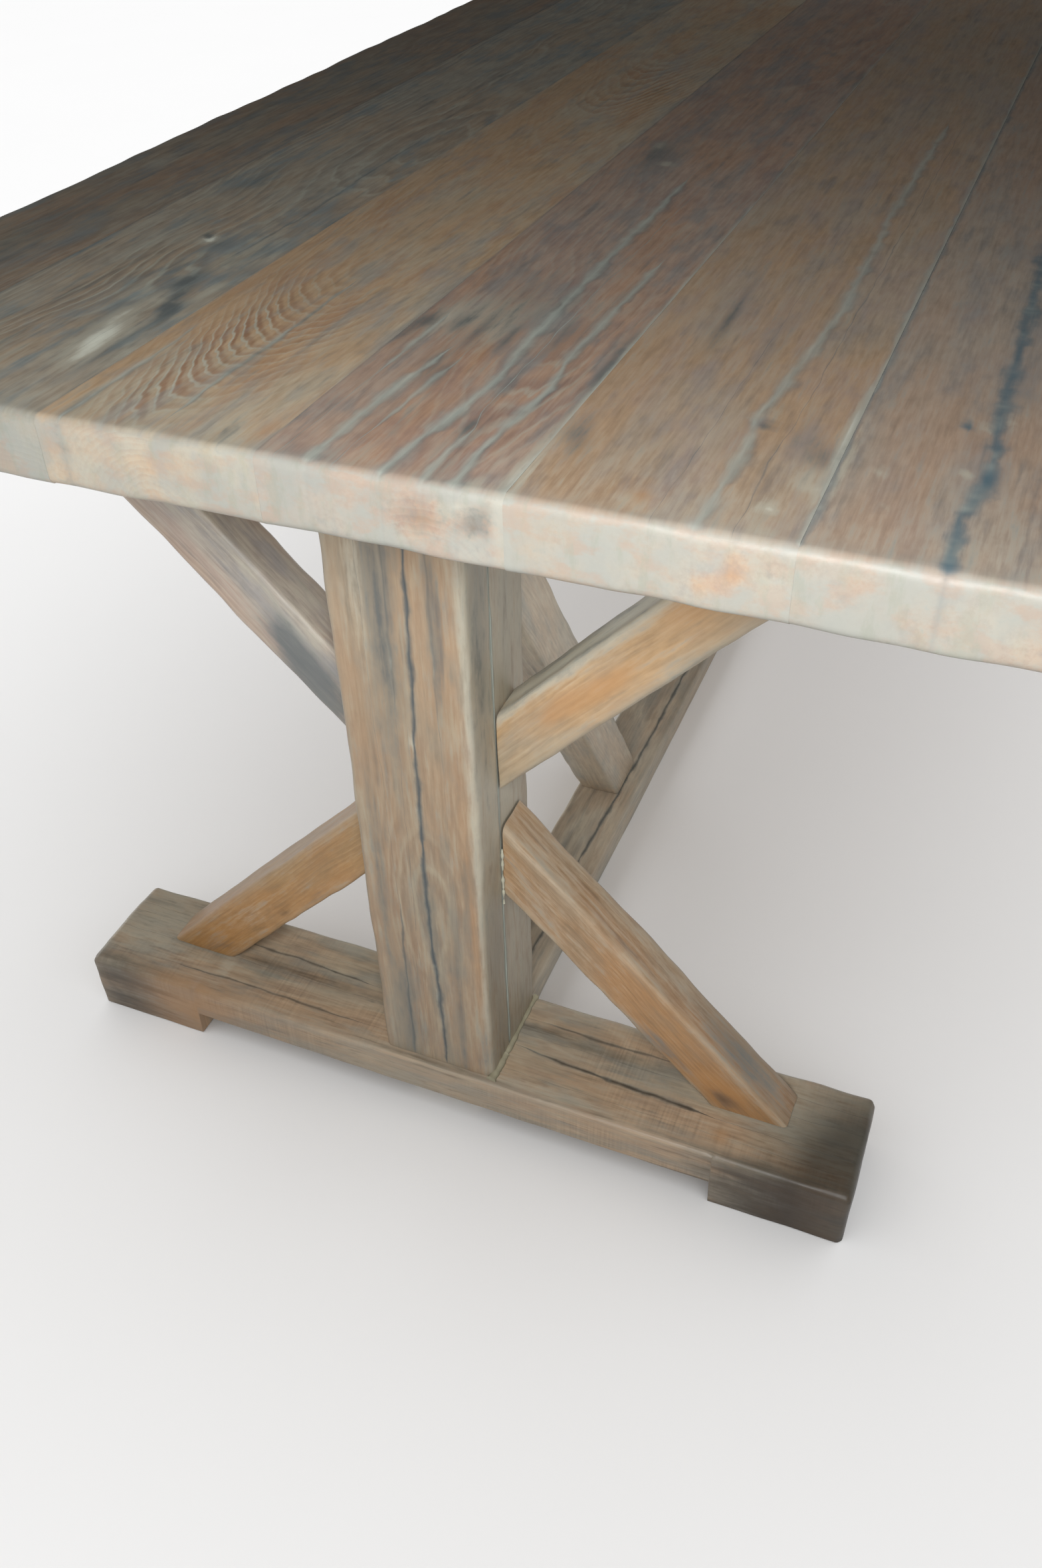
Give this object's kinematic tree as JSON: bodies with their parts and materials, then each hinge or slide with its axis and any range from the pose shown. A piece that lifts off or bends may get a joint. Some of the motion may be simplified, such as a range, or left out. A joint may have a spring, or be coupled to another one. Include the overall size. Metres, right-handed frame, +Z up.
{
  "type": "sawbuck table",
  "caption": "Long dining table of heavy limed timber: plank top on X-braced post trestles, with a floor rail and long diagonal braces.",
  "frame": {"origin": "on the floor under the middle of the top (centre of the bounding box's bottom face)", "axes": "+X along the table's length towards end A, +Y across its width, +Z up"},
  "size_m": [2.2, 1, 0.78],
  "materials": {
    "top_planks": "limed reclaimed hardwood, matt oil finish, pale end grain and blue-grey filled cracks",
    "foot_timber": "limed reclaimed hardwood, matt oil finish",
    "head_timber": "limed reclaimed hardwood, matt oil finish",
    "post_timber": "limed reclaimed hardwood, matt oil finish",
    "brace_timber": "limed reclaimed hardwood, matt oil finish",
    "long_brace_timber": "limed reclaimed hardwood, matt oil finish",
    "rail_timber": "limed reclaimed hardwood, matt oil finish",
    "hidden_timber": "plain hardwood, unfinished",
    "screw_steel": "zinc-plated steel"
  },
  "bodies": {
    "root": {"top_plank_1": "top_planks", "top_plank_2": "top_planks", "top_plank_3": "top_planks", "top_plank_4": "top_planks", "top_plank_5": "top_planks", "top_plank_6": "top_planks", "top_tongue_1": "hidden_timber", "top_tongue_2": "hidden_timber", "top_tongue_3": "hidden_timber", "top_tongue_4": "hidden_timber", "top_tongue_5": "hidden_timber", "foot_beam_a": "foot_timber", "head_beam_a": "head_timber", "post_outer_a": "post_timber", "post_inner_a": "post_timber", "brace_upper_right_a": "brace_timber", "brace_upper_left_a": "brace_timber", "brace_lower_right_a": "brace_timber", "brace_lower_left_a": "brace_timber", "long_brace_a": "long_brace_timber", "brace_dowels_a": "hidden_timber", "long_brace_dowels_a": "hidden_timber", "head_screws_a": "screw_steel", "foot_screws_a": "screw_steel", "foot_beam_b": "foot_timber", "head_beam_b": "head_timber", "post_outer_b": "post_timber", "post_inner_b": "post_timber", "brace_upper_right_b": "brace_timber", "brace_upper_left_b": "brace_timber", "brace_lower_right_b": "brace_timber", "brace_lower_left_b": "brace_timber", "long_brace_b": "long_brace_timber", "brace_dowels_b": "hidden_timber", "long_brace_dowels_b": "hidden_timber", "head_screws_b": "screw_steel", "foot_screws_b": "screw_steel", "floor_rail": "rail_timber"}
  },
  "joints": []
}
